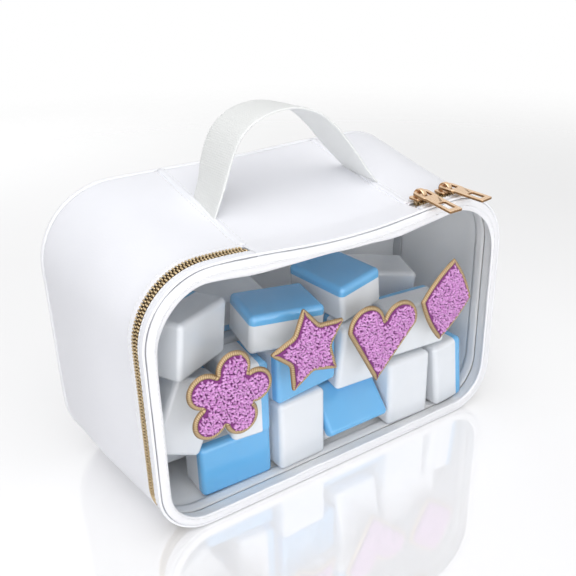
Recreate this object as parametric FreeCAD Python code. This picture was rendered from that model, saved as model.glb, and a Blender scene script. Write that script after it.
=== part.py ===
import FreeCAD, Part
import math
import os

# Soft tile bag with a clear front flap that unzips round its sides and bottom.
# Millimetres, +Z up, the clear front faces -Y, the origin is on the floor under the middle of the bag.

# Body shell: the front zone is straight, then the sides and the top widen towards the back
front_width = 250.0
front_height = 157.0
front_top_radius = 40.0
front_bottom_radius = 30.0
back_width = 270.0
back_height = 175.0
back_top_radius = 46.0
back_bottom_radius = 38.0
body_depth = 111.0
shell_wall = 2.0
lining_wall = 0.6
base_seam_setback = 13.0
back_piping_radius = 1.8
binding_width = 9.0
binding_thickness = 0.8
welt_width = 3.0
welt_height = 0.7

# Flap: piping on the crease, a folded binding and the clear sheet
flap_lift = 1.0
piping_radius = 1.6
frame_width = 5.2
frame_thickness = 2.4
frame_proud = 1.5
window_thickness = 0.5
window_tuck = 3.0
running_gap = 0.3

# Zip round the flap
zip_setback = 11.0
teeth_width = 3.0
teeth_gap = 1.6
teeth_thickness = 2.2
teeth_sink = 0.3
tape_thickness = 0.8
tape_sink = 1.0
body_tape_width = 4.0
zip_end_length = 36.0

# Sliders and their pulls
slider_length = 12.0
slider_width = 9.0
upper_plate = 1.5
lower_plate = 1.0
plate_clearance = 0.75
post_length = 3.0
post_thickness = 1.0
first_slider_offset = 7.5
slider_pitch = 20.5
bridge_bar_radius = 0.9
bridge_ear_length = 1.4
pull_length = 30.0
pull_width = 10.0
pull_thickness = 1.6
pull_eye_radius = 2.0
pull_eye_width = 5.0
pull_neck_length = 7.0
pull_slot_length = 9.0
pull_slot_width = 5.4
pull_slot_margin = 3.4
pin_clearance = 0.1
pull_droop = 3.0

# Carry handle: one strap of webbing over the top
strap_width = 28.0
strap_thickness = 2.2
handle_sink = 2.0
handle_depth = 2.0
tab_height = 0.7

# Four chenille motifs on the clear sheet
patch_radius_share = 0.108
patch_backing = 1.2
patch_pile = 3.0
patch_border = 2.6
patch_level = 85.0
patch_pitch_share = 0.212
patch_stagger = 6.0

# Tiles held in the bag: their length is a share of its lesser width or of its depth, whichever is tighter
tile_across_share = 0.188
tile_deep_share = 0.4234
tile_width_share = 0.723
tile_thickness_share = 0.525
tile_back_share = 0.24
tile_edge_share = 0.068
tile_rest_gap = 0.1

cut_overrun = 10.0

crease_depth = -body_depth / 2
back_seam_depth = body_depth / 2
zip_depth = crease_depth + zip_setback
flap_teeth_back = zip_depth - teeth_gap / 2
flap_teeth_front = flap_teeth_back - teeth_width
body_teeth_front = zip_depth + teeth_gap / 2
body_teeth_back = body_teeth_front + teeth_width
mouth_depth = body_teeth_back + body_tape_width
hinge_height = front_height - piping_radius
strip_front = crease_depth + piping_radius + running_gap
corner_offset = front_width / 2 - front_top_radius
corner_height = front_height - front_top_radius
base_seam_offset = front_width / 2 - front_bottom_radius - base_seam_setback
first_slider_place = corner_offset - slider_pitch
cross_seam_offset = first_slider_place - first_slider_offset
zip_end_offset = cross_seam_offset + zip_end_length
middle_height = front_height / 2
reach = back_width + back_height + body_depth
patch_radius = front_width * patch_radius_share
patch_pitch = front_width * patch_pitch_share
narrow_width = min(front_width, back_width)
tile_length = min(narrow_width * tile_across_share, body_depth * tile_deep_share)
tile_width = tile_length * tile_width_share
tile_thickness = tile_length * tile_thickness_share
tile_back = tile_thickness * tile_back_share
tile_edge_radius = tile_length * tile_edge_share
lining_floor = shell_wall + lining_wall

vector = FreeCAD.Vector
along_x = vector(1, 0, 0)
along_y = vector(0, 1, 0)
along_z = vector(0, 0, 1)
diagonal_share = math.sqrt(0.5)


def block(x_low, x_high, y_low, y_high, z_low, z_high):
    return Part.makeBox(x_high - x_low, y_high - y_low, z_high - z_low, vector(x_low, y_low, z_low))


def line(start, end):
    return Part.LineSegment(start, end).toShape()


def arc(start, middle, end):
    return Part.Arc(start, middle, end).toShape()


def outline(width, low, high, top_radius, bottom_radius, depth):
    half = width / 2
    corners = (
        (half, high, 1, 1, top_radius),
        (half, low, 1, -1, bottom_radius),
        (-half, low, -1, -1, bottom_radius),
        (-half, high, -1, 1, top_radius),
    )
    arcs = []
    for x, z, side, lift, radius in corners:
        centre_x = x - side * radius
        centre_z = z - lift * radius
        upright = vector(x, depth, centre_z)
        level = vector(centre_x, depth, z)
        slant = radius * diagonal_share
        middle = vector(centre_x + side * slant, depth, centre_z + lift * slant)
        ends = (level, upright) if side == lift else (upright, level)
        arcs.append((ends[0], middle, ends[1]))
    edges = []
    for index, (start, middle, end) in enumerate(arcs):
        following = arcs[(index + 1) % len(arcs)][0]
        edges.append(arc(start, middle, end))
        edges.append(line(end, following))
    return Part.Wire(edges)


def front_outline(depth, inset):
    return outline(
        front_width - 2 * inset,
        flap_lift + inset,
        front_height - inset,
        front_top_radius - inset,
        front_bottom_radius - inset,
        depth,
    )


# Width, height, top radius and bottom radius of the shell at a depth
def body_sizes(depth):
    share = max(0, (depth - mouth_depth) / (back_seam_depth - mouth_depth))
    front_sizes = (front_width, front_height, front_top_radius, front_bottom_radius)
    back_sizes = (back_width, back_height, back_top_radius, back_bottom_radius)
    return [front + share * (back - front) for front, back in zip(front_sizes, back_sizes)]


def body_outline(depth, inset):
    width, height, top_radius, bottom_radius = body_sizes(depth)
    return outline(
        width - 2 * inset, inset, height - inset, top_radius - inset, bottom_radius - inset, depth
    )


def top_height(depth):
    return body_sizes(depth)[1]


def plug(wire, length):
    return Part.Face(wire).extrude(along_y * length)


def front_ring(depth_low, depth_high, outer, inner):
    length = depth_high - depth_low
    return plug(front_outline(depth_low, outer), length).cut(plug(front_outline(depth_low, inner), length))


def body_solid(depth_low, depth_high, inset):
    return Part.makeLoft([body_outline(depth_low, inset), body_outline(depth_high, inset)], True, True)


def body_ring(depth_low, depth_high, outer, inner):
    return body_solid(depth_low, depth_high, outer).cut(body_solid(depth_low, depth_high, inner))


def tube(wire, radius):
    start = wire.Vertexes[0].Point
    tangent = wire.Edges[0].tangentAt(wire.Edges[0].FirstParameter)
    circle = Part.Wire([Part.Circle(start, tangent, radius).toShape()])
    return wire.makePipeShell([circle], True, False)


def single(shape):
    solids = shape.removeSplitter().Solids
    return solids[0] if len(solids) == 1 else Part.makeCompound(solids)


def save(name, shape):
    shape.exportStep("parts/" + name + ".step")


top_zone = block(-cross_seam_offset, cross_seam_offset, -reach, reach, middle_height, reach)
base_zone = block(-base_seam_offset, base_seam_offset, -reach, reach, -reach, middle_height)
left_zone = block(-reach, 0, -reach, reach, -reach, reach)
right_zone = block(0, reach, -reach, reach, -reach, reach)


# Shell panels, cut from one tapered tube at the cross seams and the base seams
def build_shell():
    shell = body_ring(mouth_depth, back_seam_depth, 0, shell_wall)
    fixed_strip = front_ring(strip_front, mouth_depth, 0, shell_wall).common(top_zone)
    save("top_panel", single(shell.common(top_zone).fuse(fixed_strip)))
    save(
        "base_panel",
        block(-base_seam_offset, base_seam_offset, mouth_depth, back_seam_depth, 0, shell_wall),
    )
    sides = shell.cut(top_zone).cut(base_zone)
    save("left_gusset", single(sides.common(left_zone)))
    save("right_gusset", single(sides.common(right_zone)))
    panel_inset = 2 * back_piping_radius
    back_face = Part.Face(body_outline(back_seam_depth, panel_inset))
    save("back_panel", back_face.extrude(along_y * shell_wall))
    piping_path = body_outline(back_seam_depth, back_piping_radius)
    piping_path.translate(along_y * back_piping_radius)
    save("back_piping", tube(piping_path, back_piping_radius))


# Lining, and the tape that binds the back seam inside the bag
def build_lining():
    lining_back = back_seam_depth - lining_wall
    full_wall = shell_wall + lining_wall
    save("gusset_lining", single(body_ring(mouth_depth, lining_back, shell_wall, full_wall)))
    back_sheet = body_solid(lining_back, back_seam_depth, shell_wall)
    save("back_lining", single(back_sheet))
    binding_front = lining_back - binding_width
    binding = body_ring(binding_front, lining_back, full_wall, full_wall + binding_thickness)
    save("seam_binding", single(binding))


# Middle line of the strap from its left seam to its right one, leaning as a soft strap stands:
# across and upward, as shares of a seam's distance from the middle
strap_line_shares = (
    (-1.0, 0.0),
    (-0.9, 0.22),
    (-0.83, 0.43),
    (-0.76, 0.6),
    (-0.66, 0.75),
    (-0.49, 0.865),
    (-0.28, 0.92),
    (-0.07, 0.92),
    (0.12, 0.875),
    (0.3, 0.78),
    (0.47, 0.63),
    (0.6, 0.48),
    (0.74, 0.31),
    (0.88, 0.14),
    (1.0, 0.0),
)


# The strap's outer or inner line, half a thickness to one side of its middle line
def strap_line(depth, foot, side):
    middle = [
        vector(across * cross_seam_offset, depth, foot + up * cross_seam_offset)
        for across, up in strap_line_shares
    ]
    points = []
    for index, point in enumerate(middle):
        before = middle[max(0, index - 1)]
        after = middle[min(len(middle) - 1, index + 1)]
        outward = (after - before).cross(along_y).normalize()
        points.append(point - outward * (side * strap_thickness / 2))
    curve = Part.BSplineCurve()
    curve.interpolate(points)
    return curve.toShape(), points[0], points[-1]


# Carry handle and the raised cross seams that hold its ends
def build_handle():
    strap_low = handle_depth - strap_width / 2
    strap_high = handle_depth + strap_width / 2
    arch_foot = top_height(handle_depth) - handle_sink
    strap_foot = max(top_height(strap_low), top_height(strap_high))
    pivot = strap_foot + tab_height + running_gap + strap_width / 2
    outer, outer_left, outer_right = strap_line(strap_low, arch_foot, 1)
    inner, inner_left, inner_right = strap_line(strap_low, arch_foot, -1)
    ends = [Part.makeLine(outer_left, inner_left), Part.makeLine(outer_right, inner_right)]
    profile = Part.Face(Part.Wire(Part.__sortEdges__([outer, inner] + ends)))
    arch = profile.extrude(along_y * strap_width)
    above = block(-reach, reach, -reach, reach, pivot, reach)
    turn_start = vector(-reach, handle_depth, pivot)
    turning_end = Part.makeCylinder(strap_width / 2, 2 * reach, turn_start, along_x)
    save("handle_strap", single(arch.common(above).fuse(arch.common(turning_end))))
    tab_top = pivot - strap_width / 2 - running_gap
    under = block(-reach, reach, -reach, reach, middle_height, tab_top)
    body = body_solid(mouth_depth, back_seam_depth, 0)
    tabs = arch.common(under).cut(body)
    welt_cover = body_ring(mouth_depth, back_seam_depth, -welt_height, 0)
    for name, side, zone in (("left", -1, left_zone), ("right", 1, right_zone)):
        tab = single(tabs.common(zone))
        save("handle_tab_" + name, tab)
        middle = side * cross_seam_offset
        strip = block(
            middle - welt_width / 2, middle + welt_width / 2, -reach, reach, middle_height, reach
        )
        save("cross_seam_" + name, single(welt_cover.common(strip).cut(tab)))
    print("handle pivot height", round(pivot, 2))


# Stretch of the zip's front half that stays with the body, under the parked sliders
def zip_end_zone():
    return block(cross_seam_offset, zip_end_offset, -reach, reach, middle_height, reach)


# Top stretch where the flap has no rim: the cloth hinge and the parked sliders
def rim_gap_zone():
    wide = cross_seam_offset + running_gap
    return block(-wide, zip_end_offset + running_gap, -reach, reach, middle_height, reach)


def build_zip():
    tape_inner = tape_sink + tape_thickness
    teeth_inner = teeth_sink + teeth_thickness
    body_tape = front_ring(body_teeth_back, mouth_depth, tape_sink, tape_inner)
    body_teeth = front_ring(body_teeth_front, body_teeth_back, teeth_sink, teeth_inner)
    save("zip_tape_body", single(body_tape.cut(top_zone)))
    save("zip_teeth_body", single(body_teeth.cut(top_zone)))
    tape_front = crease_depth + piping_radius
    flap_tape = front_ring(tape_front, flap_teeth_front, tape_sink, tape_inner)
    flap_teeth = front_ring(flap_teeth_front, flap_teeth_back, teeth_sink, teeth_inner)
    save("zip_tape_flap", single(flap_tape.cut(rim_gap_zone())))
    save("zip_teeth_flap", single(flap_teeth.cut(rim_gap_zone())))
    end_tape = front_ring(strip_front, flap_teeth_front, tape_sink, tape_inner)
    save("zip_end_tape", single(end_tape.common(zip_end_zone())))
    save("zip_end_teeth", single(flap_teeth.common(zip_end_zone())))


# Flap frame: the piping's top run is the line that the flap turns on
def build_flap():
    save("flap_piping", tube(front_outline(crease_depth, piping_radius), piping_radius))
    frame_outer = 2 * piping_radius + running_gap
    frame_front = crease_depth - frame_proud
    frame_inner = frame_outer + frame_width
    frame = front_ring(frame_front, frame_front + frame_thickness, frame_outer, frame_inner)
    sheet_front = crease_depth - window_thickness
    sheet = plug(front_outline(sheet_front, frame_inner - window_tuck), window_thickness)
    save("window_frame", single(frame.cut(sheet)))
    save("clear_window", sheet)


# Slider: two plates joined by a wedge post, with a bar on top that the pull hangs on
def slider_solid(middle):
    teeth_top = front_height - teeth_sink
    upper_low = teeth_top + plate_clearance
    upper_high = upper_low + upper_plate
    lower_high = teeth_top - teeth_thickness - plate_clearance
    lower_low = lower_high - lower_plate
    low_x = middle - slider_length / 2
    high_x = middle + slider_length / 2
    low_y = zip_depth - slider_width / 2
    high_y = zip_depth + slider_width / 2
    upper = block(low_x, high_x, low_y, high_y, upper_low, upper_high)
    lower = block(low_x, high_x, low_y, high_y, lower_low, lower_high)
    post = block(
        middle - post_length / 2,
        middle + post_length / 2,
        zip_depth - post_thickness / 2,
        zip_depth + post_thickness / 2,
        lower_high,
        upper_low,
    )
    bar_height = upper_high + running_gap + pull_eye_radius
    bar_start = vector(low_x + bridge_ear_length / 2, zip_depth, bar_height)
    bar = Part.makeCylinder(bridge_bar_radius, slider_length - bridge_ear_length, bar_start, along_x)
    solid = upper.fuse([lower, post, bar])
    for ear_low in (low_x, high_x - bridge_ear_length):
        ear = block(
            ear_low,
            ear_low + bridge_ear_length,
            zip_depth - pull_eye_radius,
            zip_depth + pull_eye_radius,
            upper_high,
            bar_height + bridge_bar_radius,
        )
        solid = solid.fuse(ear)
    return single(solid), bar_height


# Pull: an eye round the bar, a neck and a tab with a window near its free end
def pull_solid(middle, bar_height):
    half_thick = pull_thickness / 2
    eye_start = vector(middle - pull_eye_width / 2, zip_depth, bar_height)
    eye = Part.makeCylinder(pull_eye_radius, pull_eye_width, eye_start, along_x)
    neck = block(
        middle - pull_eye_width / 2,
        middle + pull_eye_width / 2,
        zip_depth - pull_neck_length,
        zip_depth,
        bar_height - half_thick,
        bar_height + half_thick,
    )
    tab = block(
        middle - pull_width / 2,
        middle + pull_width / 2,
        zip_depth - pull_length,
        zip_depth - pull_neck_length,
        bar_height - half_thick,
        bar_height + half_thick,
    )
    slot = block(
        middle - pull_slot_width / 2,
        middle + pull_slot_width / 2,
        zip_depth - pull_length + pull_slot_margin,
        zip_depth - pull_length + pull_slot_margin + pull_slot_length,
        bar_height - pull_thickness,
        bar_height + pull_thickness,
    )
    bore = Part.makeCylinder(bridge_bar_radius + pin_clearance, pull_eye_width, eye_start, along_x)
    solid = single(eye.fuse([neck, tab.cut(slot)]).cut(bore))
    solid.rotate(vector(middle, zip_depth, bar_height), along_x, pull_droop)
    return solid


def build_sliders():
    places = (("first", first_slider_place), ("second", corner_offset))
    for name, middle in places:
        slider, bar_height = slider_solid(middle)
        save("slider_" + name, slider)
        save("pull_" + name, pull_solid(middle, bar_height))
        print("slider", name, "x", round(middle, 2), "bar height", round(bar_height, 2))


# Motifs: each is a stiff backing with a pile of loops inside its border
def spoke(radius, angle, depth):
    return vector(radius * math.sin(angle), depth, radius * math.cos(angle))


def blossom_outline(radius, depth):
    petal_count = 5
    valley_share = 0.62
    step = math.pi / petal_count
    edges = []
    for petal in range(petal_count):
        angle = 2 * petal * step
        start = spoke(radius * valley_share, angle - step, depth)
        end = spoke(radius * valley_share, angle + step, depth)
        edges.append(arc(start, spoke(radius, angle, depth), end))
    return Part.Wire(edges)


def star_outline(radius, depth):
    point_count = 5
    valley_share = 0.56
    step = math.pi / point_count
    corners = []
    for corner in range(2 * point_count):
        reach_share = valley_share if corner % 2 else 1
        corners.append(spoke(radius * reach_share, corner * step, depth))
    return Part.makePolygon(corners + corners[:1])


def heart_outline(radius, depth):
    dip_share = 0.5
    lobe_x_share, lobe_z_share = 0.55, 0.88
    hip_x_share, hip_z_share = 0.98, 0.3
    dip = vector(0, depth, radius * dip_share)
    tip = vector(0, depth, -radius)
    edges = []
    for side in (1, -1):
        lobe = vector(side * radius * lobe_x_share, depth, radius * lobe_z_share)
        hip = vector(side * radius * hip_x_share, depth, radius * hip_z_share)
        edges.append(arc(dip, lobe, hip))
        edges.append(line(hip, tip))
    return Part.Wire(Part.sortEdges(edges)[0])


def diamond_outline(radius, depth):
    waist_share = 0.8
    bulge_x_share, bulge_z_share = 0.44, 0.56
    edges = []
    for side in (1, -1):
        waist = vector(side * radius * waist_share, depth, 0)
        for lift in (1, -1):
            tip = vector(0, depth, lift * radius)
            bulge = vector(side * radius * bulge_x_share, depth, lift * radius * bulge_z_share)
            edges.append(arc(tip, bulge, waist))
    return Part.Wire(Part.sortEdges(edges)[0])


def build_motifs():
    backing_front = crease_depth - window_thickness - patch_backing
    pile_front = backing_front - patch_pile
    motifs = (
        ("blossom", blossom_outline, 12.0),
        ("star", star_outline, -9.0),
        ("heart", heart_outline, 8.0),
        ("diamond", diamond_outline, 10.0),
    )
    middle_slot = (len(motifs) - 1) / 2
    for index, (name, shape, tilt) in enumerate(motifs):
        lift = patch_stagger if index % 2 else -patch_stagger
        place = vector((index - middle_slot) * patch_pitch, 0, patch_level + lift)
        layers = (
            ("_backing", patch_radius, backing_front, patch_backing),
            ("_pile", patch_radius - patch_border, pile_front, patch_pile),
        )
        for layer, radius, depth, thickness in layers:
            solid = plug(shape(radius, depth), thickness)
            solid.rotate(vector(0, 0, 0), along_y, tilt)
            solid.translate(place)
            save(name + layer, solid)


# Tiles: each is a rounded block of two layers, stood, laid or leaned on what is below it
tile_stands = {
    "flat": (0, 0),
    "turned": (180, 0),
    "side_blue": (90, 0),
    "side_white": (-90, 0),
    "end_blue": (90, 90),
    "end_white": (-90, 90),
}


def tile_turn(stand, yaw, lean, pitch):
    tip, roll = tile_stands[stand]
    turn = FreeCAD.Rotation(along_x, tip)
    turn = FreeCAD.Rotation(along_y, roll).multiply(turn)
    turn = FreeCAD.Rotation(along_z, yaw).multiply(turn)
    turn = FreeCAD.Rotation(along_y, lean).multiply(turn)
    return FreeCAD.Rotation(along_x, pitch).multiply(turn)


# Half the depth that a turned tile takes
def half_depth(turn):
    halves = (tile_length / 2, tile_width / 2, tile_thickness / 2)
    spread = tile_edge_radius
    for axis, half in zip((along_x, along_y, along_z), halves):
        spread += abs(turn.multVec(axis).y) * (half - tile_edge_radius)
    return spread


def tile_block(inset):
    low = vector(inset - tile_length / 2, inset - tile_width / 2, inset - tile_thickness / 2)
    return Part.makeBox(tile_length - 2 * inset, tile_width - 2 * inset, tile_thickness - 2 * inset, low)


def tile_layers():
    whole = tile_block(0)
    whole = whole.makeFillet(tile_edge_radius, whole.Edges)
    split = tile_thickness / 2 - tile_back
    upper = block(-tile_length, tile_length, -tile_width, tile_width, split, tile_thickness)
    return single(whole.cut(upper)), single(whole.common(upper))


# The heap of tiles from its lowest layer up, each layer in the order in which it is laid. A tile
# has its place across as a share of the half width inside, its front line as a share of the half
# depth, its stand, and its yaw, sideways lean and forward pitch in degrees
tile_layer_shares = (
    (
        (-0.703, 0.423, "side_white", 3, 0, 0),
        (-0.286, 0.432, "side_blue", -2, 0, 0),
        (0.127, 0.432, "side_white", 2, 0, 0),
        (0.543, 0.432, "side_blue", -3, 0, 0),
        (-0.543, -0.712, "side_blue", -2, 0, 0),
        (-0.192, -0.811, "end_white", 2, 0, 0),
        (0.150, -0.865, "side_blue", 0, 0, -42),
        (0.495, -0.865, "end_white", -2, 0, 0),
        (0.772, -0.883, "end_blue", 90, -6, 0),
        (-0.368, -0.234, "side_white", -2, 0, 0),
        (0.037, -0.108, "side_blue", 2, 0, 0),
        (0.441, -0.108, "side_white", -2, 0, 0),
        (0.792, -0.234, "end_white", 3, 0, 0),
        (-0.784, -0.180, "side_white", -3, 0, 0),
    ),
    (
        (-0.703, 0.423, "side_blue", -3, 0, 0),
        (-0.286, 0.432, "side_white", 3, 0, 0),
        (0.127, 0.432, "side_blue", -2, 0, 0),
        (0.543, 0.432, "side_white", 3, 0, 0),
        (-0.788, -0.721, "end_white", 4, 26, 0),
        (-0.466, -0.811, "end_blue", 84, 0, 0),
        (-0.151, -0.793, "side_blue", 7, 0, 0),
        (0.200, -0.847, "end_white", -3, 0, 10),
        (0.564, -0.829, "side_white", -5, 0, 0),
        (-0.351, -0.153, "end_white", 3, 0, 0),
        (0.033, -0.072, "end_blue", -4, 0, 0),
        (0.441, -0.108, "side_blue", 3, 0, 0),
        (-0.784, -0.144, "side_white", 4, 0, 0),
    ),
    (
        (-0.711, -0.829, "side_white", 30, 6, 0),
        (-0.768, 0.072, "side_blue", 6, 0, 0),
        (-0.237, -0.847, "flat", -9, 3, 4),
        (0.605, -0.306, "turned", -22, 7, 4),
        (0.172, -0.775, "flat", 98, -7, 4),
    ),
    (
        (-0.359, -0.090, "turned", -5, 0, 6),
    ),
)


# Height at which the middle of a tile's rounded corner comes to rest: on the lining, the zip's
# tape or teeth or the seam binding, or against the rounded lower corner of the bag
def seat_level(across, depth):
    floor = lining_floor
    if depth - tile_edge_radius < mouth_depth:
        floor = flap_lift + tape_sink + tape_thickness
    if depth - tile_edge_radius < body_teeth_back:
        floor = flap_lift + teeth_sink + teeth_thickness + running_gap
    if depth + tile_edge_radius > back_seam_depth - lining_wall - binding_width:
        floor = lining_floor + binding_thickness
    width, height, top_radius, bottom_radius = body_sizes(depth)
    past = abs(across) - (width / 2 - bottom_radius)
    if past <= 0:
        return floor + tile_edge_radius
    swing = bottom_radius - floor - tile_edge_radius
    return bottom_radius - math.sqrt(max(0, swing ** 2 - past ** 2))


def lies_under(box, other):
    across = other.XMin < box.XMax and other.XMax > box.XMin
    return across and other.YMin < box.YMax and other.YMax > box.YMin


# Lowers a tile's core, which is the tile less its rounding, until the tile lies on what is below
def settle(core, laid):
    column = core.BoundBox
    column.enlarge(2 * tile_edge_radius)
    below = [other for other in laid if lies_under(column, other.BoundBox)]
    drop = min(corner.Z - seat_level(corner.X, corner.Y) for corner in core.Vertexes)
    step = drop
    while step > tile_rest_gap / 10:
        gaps = [core.distToShape(other)[0] - 2 * tile_edge_radius for other in below]
        step = min(gaps + [drop]) - tile_rest_gap
        core.translate(vector(0, 0, -step))
        drop -= step


def build_tiles():
    inside_half_width = narrow_width / 2 - shell_wall - lining_wall
    white, blue = tile_layers()
    laid = []
    for layer, tiles in enumerate(tile_layer_shares):
        faces = []
        backs = []
        for across_share, front_share, stand, yaw, lean, pitch in tiles:
            turn = tile_turn(stand, yaw, lean, pitch)
            depth = front_share * back_seam_depth + half_depth(turn)
            core = tile_block(tile_edge_radius)
            above = vector(across_share * inside_half_width, depth, back_height + tile_length)
            core.Placement = FreeCAD.Placement(above, turn)
            settle(core, laid)
            laid.append(core)
            for solids, solid in ((faces, white), (backs, blue)):
                copy = solid.copy()
                copy.Placement = core.Placement.multiply(solid.Placement)
                solids.append(copy)
        save("tile_faces_layer_%d" % (layer + 1), Part.makeCompound(faces))
        save("tile_backs_layer_%d" % (layer + 1), Part.makeCompound(backs))


os.makedirs("parts", exist_ok=True)
build_shell()
build_lining()
build_handle()
build_zip()
build_flap()
build_sliders()
build_motifs()
build_tiles()
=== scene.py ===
import bpy
import bmesh
import cmath
import math
import random
from mathutils import Matrix, Vector, noise


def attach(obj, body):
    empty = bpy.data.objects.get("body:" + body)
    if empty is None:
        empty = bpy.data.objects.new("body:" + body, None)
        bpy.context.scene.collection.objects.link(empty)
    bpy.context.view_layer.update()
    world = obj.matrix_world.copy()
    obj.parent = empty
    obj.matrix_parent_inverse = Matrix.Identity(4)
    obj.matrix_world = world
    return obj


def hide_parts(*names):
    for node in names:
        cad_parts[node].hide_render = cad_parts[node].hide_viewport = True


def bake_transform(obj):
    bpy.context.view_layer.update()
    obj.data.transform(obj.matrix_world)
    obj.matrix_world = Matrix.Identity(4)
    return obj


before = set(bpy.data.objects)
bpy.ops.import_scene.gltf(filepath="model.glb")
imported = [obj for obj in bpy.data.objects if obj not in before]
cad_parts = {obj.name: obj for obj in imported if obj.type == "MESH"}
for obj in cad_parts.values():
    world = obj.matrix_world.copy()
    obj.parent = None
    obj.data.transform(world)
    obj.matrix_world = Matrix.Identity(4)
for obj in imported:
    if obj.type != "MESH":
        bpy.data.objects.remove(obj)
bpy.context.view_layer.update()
milli = 0.001  # meshes are written in millimetres and stored in metres
fullTurn = 2 * math.pi
rightAxis, rearAxis, upAxis = Vector((1, 0, 0)), Vector((0, 1, 0)), Vector((0, 0, 1))
bagMiddle, behindFlap = (0, 0, 80), (0, 80, 80)
noise.seed_set(12)  # or the vector noise takes its offsets from the clock
print("frame loaded,", len(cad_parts), "nodes")


# shader kit
def feed(tree, socket, value):
    if isinstance(value, Wire):
        tree.links.new(value.socket, socket)
    elif socket.type == "RGBA":
        socket.default_value = (*value[:3], 1)
    else:
        socket.default_value = value


# an operator between a wire and a wire or number, or its reflected form
def operator(operation, reflected=False):
    def apply(self, other):
        return self.maths(operation, other, self) if reflected else self.maths(operation, self, other)
    return apply


class Wire:
    def __init__(self, tree, socket):
        self.tree = tree
        self.socket = socket

    def maths(self, operation, first, second):
        node = self.tree.nodes.new("ShaderNodeMath")
        node.operation = operation
        feed(self.tree, node.inputs[0], first)
        feed(self.tree, node.inputs[1], second)
        return Wire(self.tree, node.outputs[0])

    __add__, __radd__ = operator("ADD"), operator("ADD", True)
    __sub__, __rsub__ = operator("SUBTRACT"), operator("SUBTRACT", True)
    __mul__, __rmul__ = operator("MULTIPLY"), operator("MULTIPLY", True)
    __truediv__, __rtruediv__ = operator("DIVIDE"), operator("DIVIDE", True)
    __pow__, __rpow__ = operator("POWER"), operator("POWER", True)


class Graph:
    def __init__(self, tree):
        self.tree = tree

    def node(self, kind, settings=None, sockets=None, output=0):
        made = self.tree.nodes.new("ShaderNode" + kind)
        for key, value in (settings or {}).items():
            setattr(made, key, value)
        for key, value in (sockets or {}).items():
            feed(self.tree, made.inputs[key], value)
        return Wire(self.tree, made.outputs[output])


class Finish(Graph):
    def __init__(self, name, **fixed):
        self.material = bpy.data.materials.new(name)
        self.material.use_nodes = True
        super().__init__(self.material.node_tree)
        self.shader = self.tree.nodes["Principled BSDF"]
        for key, value in fixed.items():
            self.give(key, value)

    # a socket's name with its spaces left out
    def give(self, key, value):
        names = {socket.name.replace(" ", ""): socket for socket in self.shader.inputs}
        feed(self.tree, names[key], value)

    def mix(self, share, low, high):
        return self.node("Mix", {"data_type": "RGBA"}, {0: share, 6: low, 7: high}, 2)

    def spot(self, stretch=(1, 1, 1)):
        place = self.node("TexCoord", output="Object")
        return self.node("VectorMath", {"operation": "MULTIPLY"}, {0: place, 1: stretch})

    # soft noise from 0 to 1, its grain given in millimetres
    def cloud(self, size, detail=2.0, rough=0.5, stretch=(1, 1, 1)):
        grain = {"Vector": self.spot(stretch), "Scale": 1 / (size * milli)}
        return self.node("TexNoise", None, {**grain, "Detail": detail, "Roughness": rough})

    # rounded cells, as on a grained skin
    def cells(self, size):
        grain = {"Vector": self.spot(), "Scale": 1 / (size * milli)}
        return self.node("TexVoronoi", {"feature": "SMOOTH_F1"}, grain)

    def measure(self, name):
        return self.node("Attribute", {"attribute_name": name}, None, "Fac")

    def limit(self, value, low, high):
        sockets = {"Value": value, "From Min": low, "From Max": high}
        return self.node("MapRange", {"interpolation_type": "SMOOTHSTEP"}, sockets)

    def ridges(self, value, pitch):
        turn = value * (fullTurn / pitch)
        return turn.maths("SINE", turn, 0) * 0.5 + 0.5

    def relief(self, height, depth):
        sockets = {"Height": height, "Distance": depth * milli, "Strength": 1}
        self.give("Normal", self.node("Bump", None, sockets))
        return self.material

    def skin(self):
        return Wire(self.tree, self.shader.outputs[0])

    def layers(self, share, first, second):
        whole = self.node("MixShader", None, {0: share, 1: first, 2: second})
        self.tree.links.new(whole.socket, self.tree.nodes["Material Output"].inputs[0])
        return self.material


# mesh kit
class Heap:
    def __init__(self):
        self.points = []
        self.faces = []
        self.marks = {}

    def add(self, points, faces, **marks):
        start = len(self.points)
        self.points.extend(points)
        self.faces.extend([start + corner for corner in face] for face in faces)
        for key, values in marks.items():
            self.marks.setdefault(key, []).extend(values)


def gridFaces(rows, columns, roundRows=False, roundColumns=False):
    faces = []
    for row in range(rows if roundRows else rows - 1):
        nextRow = (row + 1) % rows
        for column in range(columns if roundColumns else columns - 1):
            nextColumn = (column + 1) % columns
            faces.append((row * columns + column, row * columns + nextColumn,
                          nextRow * columns + nextColumn, nextRow * columns + column))
    return faces


def addObject(name, data):
    thing = bpy.data.objects.new(name, data)
    bpy.context.scene.collection.objects.link(thing)
    return thing


def meshObject(name, made, mesh):
    made.to_mesh(mesh)
    made.free()
    mesh.polygons.foreach_set("use_smooth", [True] * len(mesh.polygons))
    return addObject(name, mesh)


def markPoints(mesh, marks):
    for key, values in marks.items():
        mesh.attributes.new(key, "FLOAT", "POINT").data.foreach_set("value", values)


# facing is a point that an open sheet turns its back to
def makeMesh(name, points, faces, marks=None, facing=None):
    mesh = bpy.data.meshes.new(name)
    mesh.from_pydata([tuple(milli * c for c in point) for point in points], [], faces)
    markPoints(mesh, marks or {})
    made = bmesh.new()
    made.from_mesh(mesh)
    bmesh.ops.recalc_face_normals(made, faces=made.faces)
    if facing:
        centre = Vector(facing) * milli
        if sum(f.normal.dot(f.calc_center_median() - centre) * f.calc_area() for f in made.faces) < 0:
            bmesh.ops.reverse_faces(made, faces=made.faces)
    return meshObject(name, made, mesh)


def heapMesh(name, heap):
    return makeMesh(name, heap.points, heap.faces, heap.marks)


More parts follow.
